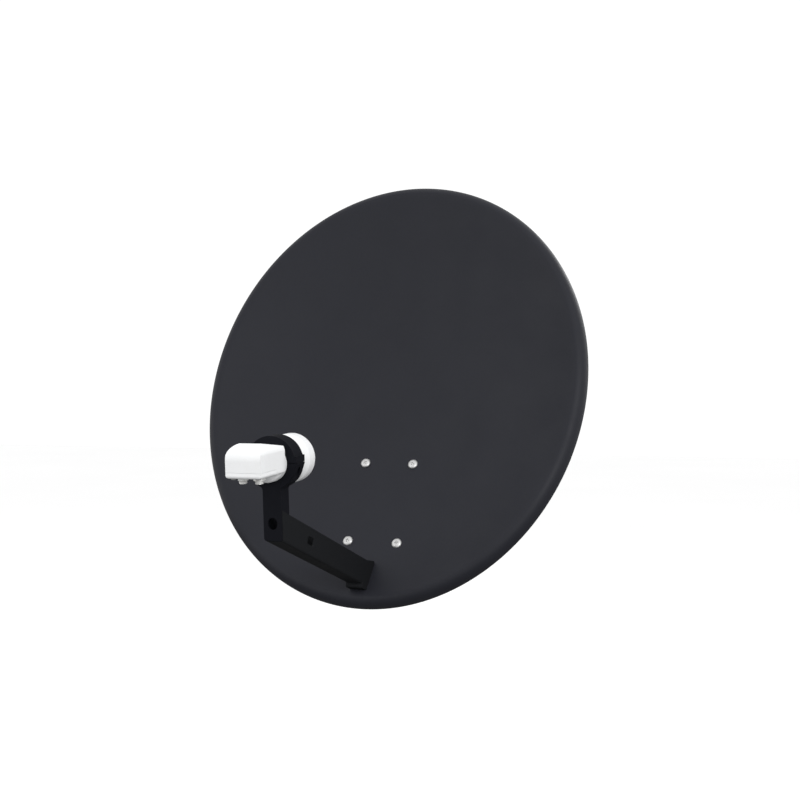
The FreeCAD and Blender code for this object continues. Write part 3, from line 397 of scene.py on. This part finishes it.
def moulded_plastic(name, colour, roughness, specular, edges=0.5, grain=0.05, dirt=None):
    """Moulded plastic: fine spark-eroded grain, slight mottling, rubbed edges."""
    surface = Surface(name, colour, roughness, specular=specular)
    if edges:
        surface.soft_edges(edges)
    surface.tint(surface.spread(surface.noise(28, 4), 0.0, 0.5), scaled(colour, 0.93))
    surface.tint(surface.spread(surface.noise(1300, 2), 0.0, 0.25), scaled(colour, 1.12))
    if dirt:
        surface.tint(surface.spread(surface.noise(60, 5, 0.65, (1, 1, 0.25)), 0.0, 0.30,
                                    0.55, 0.78), dirt)
    surface.gloss(surface.noise(45, 3), roughness - 0.07, roughness + 0.08)
    surface.relief(surface.noise(1900, 2), grain, 0.5)
    return surface.done()


def zinc_plate(name, colour, roughness, edges=0.3, scale=600):
    """Zinc-plated steel: cloudy plating with darker patches and fine scratches."""
    surface = Surface(name, colour, roughness, metallic=1.0)
    if edges:
        surface.soft_edges(edges)
    surface.tint(surface.spread(surface.noise(scale * 0.4, 4), 0.0, 0.6), scaled(colour, 0.78))
    surface.tint(surface.spread(surface.noise(scale, 3, 0.6), 0.0, 0.4, 0.5, 0.75),
                 (0.52, 0.50, 0.44, 1.0))
    surface.gloss(surface.noise(scale * 1.4, 3), roughness - 0.1, roughness + 0.14)
    surface.relief(surface.noise(scale * 3.5, 2, 0.6, (1, 6, 1)), 0.02, 0.5)
    return surface.done()


def galvanised(name):
    """Hot-dip galvanised sheet with soft spangles."""
    colour = (0.46, 0.47, 0.49, 1.0)
    surface = Surface(name, colour, 0.42, metallic=0.85)
    surface.soft_edges(0.6)
    cells = surface.cells(150)
    separate = surface.node("ShaderNodeSeparateColor")
    surface.link(cells.outputs["Color"], separate.inputs["Color"])
    surface.tint(surface.spread(separate.outputs["Red"], 0.0, 0.8, 0.0, 1.0),
                 scaled(colour, 0.72))
    surface.tint(surface.spread(surface.noise(45, 4), 0.0, 0.5), (0.60, 0.61, 0.62, 1.0))
    surface.tint(surface.spread(surface.noise(900, 2), 0.0, 0.4, 0.6, 0.8),
                 (0.30, 0.30, 0.30, 1.0))
    surface.gloss(separate.outputs["Green"], 0.34, 0.56, 0.0, 1.0)
    surface.relief(surface.noise(260, 3), 0.06, 0.5)
    return surface.done()


def rubber(name):
    colour = (0.012, 0.012, 0.012, 1.0)
    surface = Surface(name, colour, 0.7, specular=0.3)
    surface.tint(surface.spread(surface.noise(500, 3), 0.0, 0.6), scaled(colour, 1.8))
    surface.gloss(surface.noise(300, 2), 0.6, 0.82)
    surface.relief(surface.noise(2200, 2), 0.04, 0.6)
    return surface.done()


def circuit_board(name):
    """Green solder mask over faint copper tracks."""
    colour = (0.012, 0.085, 0.030, 1.0)
    surface = Surface(name, colour, 0.32, specular=0.5)
    tracks = surface.cells(320, "DISTANCE_TO_EDGE")
    surface.tint(surface.spread(tracks.outputs["Distance"], 0.8, 0.0, 0.02, 0.05),
                 (0.030, 0.150, 0.055, 1.0))
    surface.tint(surface.spread(surface.noise(900, 1), 0.0, 1.0, 0.68, 0.72),
                 (0.60, 0.58, 0.50, 1.0))
    surface.gloss(surface.noise(200, 2), 0.26, 0.42)
    surface.relief(tracks.outputs["Distance"], 0.05, 0.4)
    return surface.done()


REFLECTOR_PAINT = powder_coat("reflector_paint", linear(33, 34, 40), 0.52, 0.18, edges=0.0)
BRACKET_PAINT = powder_coat("bracket_paint", linear(38, 39, 42), 0.5, 0.30, edges=0.7)
ARM_PAINT = powder_coat("arm_paint", linear(28, 29, 31), 0.65, 0.04, edges=0.7)
HOLDER_PLASTIC = moulded_plastic("holder_plastic", linear(18, 19, 24), 0.6, 0.06, edges=0.9,
                                 grain=0.07)
LINER_PLASTIC = moulded_plastic("liner_plastic", linear(14, 14, 16), 0.55, 0.2)
WHITE_PLASTIC = moulded_plastic("white_plastic", linear(232, 233, 234), 0.42, 0.4, edges=0.8,
                                grain=0.03, dirt=linear(218, 217, 214))
BASE_PLASTIC = moulded_plastic("base_plastic", linear(236, 237, 238), 0.46, 0.4, edges=0.6,
                               grain=0.03, dirt=linear(222, 221, 218))
NECK_PAINT = moulded_plastic("cast_neck", linear(238, 239, 240), 0.5, 0.4, edges=0.5,
                             grain=0.08)
SPACER_PLASTIC = moulded_plastic("spacer_plastic", linear(24, 24, 26), 0.6, 0.3)
INSULATOR = moulded_plastic("insulator", linear(228, 226, 218), 0.5, 0.5, grain=0.02)
SCREW_STEEL = zinc_plate("screw_steel", (0.66, 0.66, 0.66, 1.0), 0.5, edges=0.15)
ZINC_STEEL = zinc_plate("zinc_steel", (0.62, 0.62, 0.61, 1.0), 0.34, edges=0.2)
BLACK_STEEL = zinc_plate("black_steel", (0.035, 0.035, 0.037, 1.0), 0.42, edges=0.15)
NICKEL = zinc_plate("nickel", (0.92, 0.92, 0.91, 1.0), 0.48, edges=0.2, scale=900)
SHIELD_TIN = zinc_plate("shield_tin", (0.66, 0.66, 0.64, 1.0), 0.32, edges=0.3)
BRASS = zinc_plate("contact_brass", (0.72, 0.50, 0.20, 1.0), 0.28, edges=0.1, scale=900)
GALVANISED = galvanised("galvanised")
SEAL_RUBBER = rubber("seal_rubber")
BOARD = circuit_board("board")

for node, material in {
        "dish_bracket": BRACKET_PAINT, "mast_bracket": BRACKET_PAINT,
        "mast_saddle": GALVANISED, "saddle_cheeks": GALVANISED, "mast_jaw": GALVANISED,
        "feed_arm": ARM_PAINT,
        "lnb_holder": HOLDER_PLASTIC, "clamp_cap": HOLDER_PLASTIC,
        "clamp_liner": LINER_PLASTIC, "reflector_spacers": SPACER_PLASTIC,
        "lnb_horn": NECK_PAINT, "lnb_housing": WHITE_PLASTIC, "lnb_base": BASE_PLASTIC,
        "cap_seal": SEAL_RUBBER, "housing_gasket": SEAL_RUBBER, "circuit_board": BOARD,
        "board_shield": SHIELD_TIN, "clamp_inserts": BRASS, "waveguide_probe": BRASS,
        "socket_contacts": BRASS, "socket_insulators": INSULATOR}.items():
    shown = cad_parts[node].data
    shown.materials.clear()
    shown.materials.append(material)

# ---------------------------------------------------------------- reflector

HALF_WIDTH, FOCAL, SKIN = 275.0, 280.0, 1.0
LIP_REACH, LIP_DROP = 14.55, 17.7
OFFSET = math.atan(285.0 / (2 * FOCAL))


def reflector_ring(radius, behind, segments):
    """Ellipse of the paraboloid that is parallel to the aperture, on the front or back skin."""
    sag = (HALF_WIDTH ** 2 - radius ** 2) / (4 * FOCAL)
    depth = (sag + behind) * math.cos(OFFSET)
    rise = -(sag + behind) * math.sin(OFFSET)
    tall = radius / math.cos(OFFSET)
    return [(radius * math.cos(2 * math.pi * i / segments), depth,
             tall * math.sin(2 * math.pi * i / segments) + rise) for i in range(segments)]


def lip_ring(turn, behind, segments):
    """Ring on the rolled lip, turn in degrees from the aperture's edge to the rim."""
    angle = math.radians(turn)
    outwards = (LIP_REACH - behind) * math.sin(angle)
    back = LIP_DROP * (1 - math.cos(angle)) + behind * math.cos(angle)
    wide, tall = HALF_WIDTH + outwards, HALF_WIDTH / math.cos(OFFSET) + outwards
    return [(wide * math.cos(2 * math.pi * i / segments), back,
             tall * math.sin(2 * math.pi * i / segments)) for i in range(segments)]


def reflector_skin():
    """Front skin from the middle out, round the rim, and back along the rear skin."""
    segments, rows = 288, 44
    radii = [HALF_WIDTH * (row + 0.35) / (rows + 0.35) for row in range(rows)]
    rings = [reflector_ring(radius, 0.0, segments) for radius in radii]
    turns = [90.0 * step / 14 for step in range(15)]
    rings += [lip_ring(turn, 0.0, segments) for turn in turns]
    rings += [lip_ring(turn, SKIN, segments) for turn in reversed(turns)]
    rings += [reflector_ring(radius, SKIN, segments) for radius in reversed(radii)]
    return stack_rings(rings)


reflector = make_piece("reflector_skin", *reflector_skin(), DISH, REFLECTOR_PAINT, "dish",
                       "reflector_paint", ["reflector"])
sharpen(reflector, 50)

# ---------------------------------------------------------------- fasteners


def turned(axis, degrees):
    return Matrix.Rotation(math.radians(degrees), 4, axis)


def at(across, back, up, turn=None):
    place = Matrix.Translation((across, back, up))
    return place @ turn if turn else place


CORNERS = [(across, up) for across in (-SCREW_X, SCREW_X) for up in (-SCREW_Z, SCREW_Z)]
SPACER_LENGTH, M6_WASHER, M6_NUT = 8, 1.6, 5
shank_end = SPACER_LENGTH + SKIN + WEB_GAUGE + M6_WASHER + M6_NUT + 3
head = recessed_dome(7.25, 3.2, 2.9, 0.62, 1.6)
shank = threaded_rod(2.98, 1.0, 0.5, 0.02, shank_end)
screws = merge([placed(merge([head, shank]), at(x, SEAT_FRONT, z, turned("Y", 17 + 31 * i)))
                for i, (x, z) in enumerate(CORNERS)])
sharpen(make_piece("reflector_screw_set", *screws, BRACKET, SCREW_STEEL, "dish", "screw_steel",
                   ["reflector_screws"]), 40)
sharpen(make_piece("reflector_washer_set",
                   *copies(washer_ring(8.0, 3.2, 0.0, M6_WASHER),
                           [at(x, WEB_GAUGE, z) for x, z in CORNERS]),
                   BRACKET, ZINC_STEEL, "dish", "zinc_steel", ["reflector_washers"]))
sharpen(make_piece("reflector_nut_set",
                   *merge([placed(hex_blank(10.0, 0.0, M6_NUT, 3.05),
                                  at(x, WEB_GAUGE + M6_WASHER, z, turned("Y", 11 + 23 * i)))
                           for i, (x, z) in enumerate(CORNERS)]),
                   BRACKET, ZINC_STEEL, "dish", "zinc_steel", ["reflector_nuts"]))

ALONG_X, ALONG_MINUS_X = turned("Z", -90), turned("Z", 90)


def cap_bolt(flats, head_height, radius, pitch, length, turn=0.0):
    """Bolt along Y: head towards +Y from Y = 0, threaded shank towards -Y."""
    blank = placed(hex_blank(flats, 0.05, head_height), turned("Y", turn))
    rod = placed(threaded_rod(radius, pitch, pitch * 0.5, 0.0, length), turned("Z", 180))
    return merge([blank, rod])


arm_place = BRACKET.inverted() @ DISH @ Vector((0, 56, -277))
sharpen(make_piece(
    "arm_bolt_detail",
    *placed(cap_bolt(10.0, 4.0, 2.98, 1.0, 38.6, 12), at(14.8, arm_place.y, arm_place.z, ALONG_X)),
    BRACKET, ZINC_STEEL, "dish", "zinc_steel", ["arm_bolt"]))
sharpen(make_piece(
    "arm_nut_detail",
    *placed(hex_blank(10.0, 0.0, 5.0, 3.05), at(-14.8, arm_place.y, arm_place.z, ALONG_MINUS_X)),
    BRACKET, ZINC_STEEL, "dish", "zinc_steel", ["arm_nut"]))

PIVOT = Vector((0, -52, 26))
LOCK = PIVOT + Vector((0, 7, -math.sqrt(62 ** 2 - 7 ** 2)))
WASHER_SEAT, WASHER_GAUGE, NUT_SEAT, NUT_HEIGHT = 56.2, 1.6, 50.0, 6.5
HEAD_SEAT = WASHER_SEAT + WASHER_GAUGE
TILT_SHANK = HEAD_SEAT - NUT_SEAT + NUT_HEIGHT + 2


def tilt_bolt(turn):
    return cap_bolt(13.0, 5.3, 3.98, 1.25, TILT_SHANK, turn)


def tilt_washer(turn):
    return washer_ring(8.5, 4.08, 0.0, WASHER_GAUGE)


def tilt_nut(turn):
    return placed(hex_blank(13.0, -NUT_HEIGHT, 0.0, 4.05), turned("Y", turn))


for name, centre, turns in (("pivot", PIVOT, (8, -21)), ("lock", LOCK, (25, 3))):
    for kind, part, spot in (("bolts", tilt_bolt, HEAD_SEAT),
                             ("washers", tilt_washer, WASHER_SEAT),
                             ("nuts", tilt_nut, NUT_SEAT)):
        both = merge([
            placed(part(turns[0]), at(spot, centre.y, centre.z, ALONG_X)),
            placed(part(turns[1]), at(-spot, centre.y, centre.z, ALONG_MINUS_X))])
        sharpen(make_piece("%s_%s_detail" % (name, kind), *both, MAST, ZINC_STEEL,
                           "mast_mount", "zinc_steel", ["%s_%s" % (name, kind)]))

carriage_head = plain_rod(rounded(
    [(0.0, 9.0), (-1.0, 9.0), (-2.6, 7.6), (-3.8, 5.2), (-4.4, 1.6)], 0.6, 3, closed=False))
carriage = merge([carriage_head, threaded_rod(3.98, 1.25, 0.62, 0.02, 96.0)])
sharpen(make_piece("mast_clamp_bolt_set",
                   *copies(carriage, [at(x, -38, 0) for x in (-38, 38)]),
                   MAST, ZINC_STEEL, "mast_mount", "zinc_steel", ["mast_clamp_bolts"]), 40)
sharpen(make_piece("mast_clamp_washer_set",
                   *copies(washer_ring(8.5, 4.08, 0.0, 1.6), [at(x, 35, 0) for x in (-38, 38)]),
                   MAST, ZINC_STEEL, "mast_jaw", "zinc_steel", ["mast_clamp_washers"]))
sharpen(make_piece("mast_clamp_nut_set",
                   *merge([placed(hex_blank(13.0, 0.0, 6.5, 4.08),
                                  at(x, 36.6, 0, turned("Y", turn)))
                           for x, turn in ((-38, 14), (38, 40))]),
                   MAST, ZINC_STEEL, "mast_jaw", "zinc_steel", ["mast_clamp_nuts"]))

# ---------------------------------------------------------------- tilt scale


def tilt_scale():
    """Arc strip on the bracket's ear."""
    first, last, count = -82.0, -37.0, 60
    rings = []
    for step in range(count + 1):
        angle = math.radians(first + (last - first) * step / count)
        spot = [Vector((0, 33 + reach * math.cos(angle), 30 + reach * math.sin(angle)))
                for reach in (72.0, 81.0)]
        rings.append([(56.02, spot[0].y, spot[0].z), (56.4, spot[0].y, spot[0].z),
                      (56.4, spot[1].y, spot[1].z), (56.02, spot[1].y, spot[1].z)])
    return stack_rings(rings)


def scale_marks():
    """Plain tick marks, a long one at every fifth step."""
    parts = []
    for step in range(0, 46):
        angle = math.radians(-82.0 + step)
        inner = 72.8
        outer = inner + (5.6 if step % 10 == 0 else 4.2 if step % 5 == 0 else 2.6)
        along = Vector((0, math.cos(angle), math.sin(angle)))
        aside = Vector((0, -math.sin(angle), math.cos(angle))) * 0.16
        centre = Vector((0, 33, 30))
        corners = [centre + along * inner - aside, centre + along * outer - aside,
                   centre + along * outer + aside, centre + along * inner + aside]
        verts = [(height, c.y, c.z) for height in (56.35, 56.48) for c in corners]
        faces = [(0, 1, 2, 3), (4, 7, 6, 5), (0, 4, 5, 1), (1, 5, 6, 2), (2, 6, 7, 3),
                 (3, 7, 4, 0)]
        parts.append((verts, faces))
    return merge(parts)


SCALE_STRIP = moulded_plastic("scale_strip", linear(196, 196, 190), 0.45, 0.4, edges=0.0,
                              dirt=linear(150, 146, 136))
MARK_INK = moulded_plastic("mark_ink", linear(22, 22, 24), 0.5, 0.3, edges=0.0)
sharpen(make_piece("tilt_scale_strip", *tilt_scale(), BRACKET, SCALE_STRIP, "dish",
                   "scale_label", ["elevation_scale"]))
sharpen(make_piece("tilt_scale_marks", *scale_marks(), BRACKET, MARK_INK, "dish",
                   "scale_label"))

# ---------------------------------------------------------------- feed


def weather_cap():
    """Cap with a rounded rim, a shallow step in its face and a conical skirt."""
    outer = [(49.0, 1.0), (49.0, 12.0), (49.0, 20.5), (48.75, 21.3), (48.75, 22.6), (49.0, 23.4),
             (49.0, 25.4)]
    outer += [(49.0 - 3.2 * (1 - math.cos(math.radians(a))),
               25.8 + 3.2 * math.sin(math.radians(a))) for a in range(10, 91, 10)]
    outer += [(40.0, 29.0), (33.4, 29.0)]
    outer += [(33.4 - 1.9 * math.sin(math.radians(a)), 29.0 - 1.0 * (1 - math.cos(math.radians(a))))
              for a in range(15, 76, 15)]
    outer += [(31.0, 28.0), (26.0, 24.4), (22.0, 21.5), (21.5, 21.2), (21.9, 21.3), (23.0, 22.1)]
    inner = [(32.0, 27.4), (40.0, 27.4), (47.4, 27.4), (47.4, 12.0), (47.4, 1.0)]
    return stack_rings(lathe_rings(outer + inner, 128))


sharpen(make_piece("weather_cap", *weather_cap(), FEED, WHITE_PLASTIC, "lnb", "white_plastic",
                   ["lnb_cap"]), 40)


def coaxial_socket(turn):
    """Hexagon, threaded barrel and hollow mouth, along Y from the base outwards."""
    nut = placed(hex_blank(11.5, 0.0, 3.6, 3.4), turned("Y", turn))
    per_turn, pitch, depth = 6, 0.794, 0.42
    rings = lathe_rings([(-9.5, 3.4), (-9.5, 5.5), (0.0, 5.5), (3.6, 4.75)], 40)
    start, end = 3.7, 7.2
    count = int((end - start) / pitch * per_turn)
    for row in range(count + 1):
        along = start + (end - start) * row / count
        ring = []
        for i in range(40):
            phase = (along / pitch - i / 40) % 1.0
            radius = 4.75 - depth * abs(2 * phase - 1)
            radius -= 0.4 * smooth_step(along, end - 0.6, end)
            angle = 2 * math.pi * i / 40
            ring.append((radius * math.cos(angle), along, radius * math.sin(angle)))
        rings.append(ring)
    rings += lathe_rings([(7.2, 3.5), (7.1, 3.4)], 40)
    return merge([nut, stack_rings(rings, wrap=True)])


DOWN = turned("X", -90)
SOCKET_Y, TRAY_UNDERSIDE = -56, -10.1
sockets = merge([placed(coaxial_socket(turn), at(x, SOCKET_Y, TRAY_UNDERSIDE, DOWN))
                 for x, turn in ((-10, 0), (10, 30))])
sharpen(make_piece("coaxial_socket_pair", *sockets, FEED, NICKEL, "lnb", "nickel",
                   ["coaxial_sockets"]))

base_screw = merge([placed(recessed_dome(2.8, 1.5, 1.3, 0.3, 0.7, 0.8, 48, 16),
                           turned("X", 180)),
                    plain_rod([(0.0, 1.45), (-5.0, 1.45)], 24)])
sharpen(make_piece("base_screw_set", *copies(base_screw, [at(x, -68, -10.05, DOWN)
                                                          for x in (-15, 15)]),
                   FEED, ZINC_STEEL, "lnb", "zinc_steel", ["base_screws"]))

clamp_screw = merge([placed(recessed_dome(3.7, 2.7, 2.0, 0.42, 1.3, 1.2, 64, 22),
                            turned("X", 180)),
                     placed(threaded_rod(1.98, 0.7, 0.3, 0.0, 10.2), turned("X", 180))])
LUG_SCREW_X, LUG_SEAT = 26.6, -4.6
sharpen(make_piece("clamp_screw_set",
                   *copies(clamp_screw, [at(x, 1, LUG_SEAT, DOWN)
                                         for x in (-LUG_SCREW_X, LUG_SCREW_X)]),
                   FEED, BLACK_STEEL, "dish", "black_steel", ["clamp_screws"]), 40)

# ---------------------------------------------------------------- stage, light and camera


def stage_floor():
    """Wide pale floor."""
    size, level, cells = 14.0, -0.62, 28
    verts = [(-size + 2 * size * i / cells, -size + 2 * size * j / cells, level)
             for j in range(cells + 1) for i in range(cells + 1)]
    faces = [(j * (cells + 1) + i, j * (cells + 1) + i + 1, (j + 1) * (cells + 1) + i + 1,
              (j + 1) * (cells + 1) + i) for j in range(cells) for i in range(cells)]
    mesh = bpy.data.meshes.new("floor")
    mesh.from_pydata(verts, [], faces)
    floor = bpy.data.objects.new("floor", mesh)
    bpy.context.scene.collection.objects.link(floor)
    paper = Surface("floor_paper", (0.92, 0.92, 0.92, 1.0), 0.9, specular=0.1)
    paper.tint(paper.spread(paper.noise(0.6, 2), 0.0, 0.4), (0.95, 0.95, 0.95, 1.0))
    mesh.materials.append(paper.done())
    floor.visible_diffuse = False
    floor.visible_glossy = False


def area_light(name, place, target, size, power, colour=(1.0, 1.0, 1.0)):
    light = bpy.data.lights.new(name, "AREA")
    light.shape = "DISK"
    light.size = size
    light.energy = power
    light.color = colour
    lamp = bpy.data.objects.new(name, light)
    bpy.context.scene.collection.objects.link(lamp)
    lamp.location = place
    lamp.rotation_euler = (Vector(target) - Vector(place)).to_track_quat("-Z", "Y").to_euler()
    lamp.visible_camera = False
    return lamp


stage_floor()
area_light("key", (2.4, -2.6, 1.3), (0.0, -0.1, 0.15), 1.8, 54)
area_light("fill", (-2.6, -2.4, 1.2), (0.0, -0.1, 0.15), 2.4, 10)
area_light("rim", (1.2, 2.6, 1.6), (0.0, -0.1, 0.15), 1.8, 24)

world = bpy.data.worlds.new("studio")
world.use_nodes = True
background = world.node_tree.nodes["Background"]
background.inputs["Color"].default_value = (1.0, 1.0, 1.0, 1.0)
place = world.node_tree.nodes.new("ShaderNodeTexCoord")
split = world.node_tree.nodes.new("ShaderNodeSeparateXYZ")
level = world.node_tree.nodes.new("ShaderNodeMapRange")
for socket, amount in (("From Min", -0.35), ("From Max", -0.06), ("To Min", 0.22),
                       ("To Max", 1.07)):
    level.inputs[socket].default_value = amount
world.node_tree.links.new(place.outputs["Generated"], split.inputs["Vector"])
world.node_tree.links.new(split.outputs["Z"], level.inputs["Value"])
world.node_tree.links.new(level.outputs["Result"], background.inputs["Strength"])
bpy.context.scene.world = world
bpy.context.scene.view_settings.view_transform = "Standard"

camera_data = bpy.data.cameras.new("camera")
camera_data.sensor_width = 36.0
camera_data.lens = 48.8
camera = bpy.data.objects.new("camera", camera_data)
bpy.context.scene.collection.objects.link(camera)
camera.location = (DISH.translation + Vector((580.3, -1447.4, -26.0))) * MM
camera.rotation_euler = (math.radians(90), 0.0, math.atan2(0.3594, 0.9332))
bpy.context.scene.camera = camera
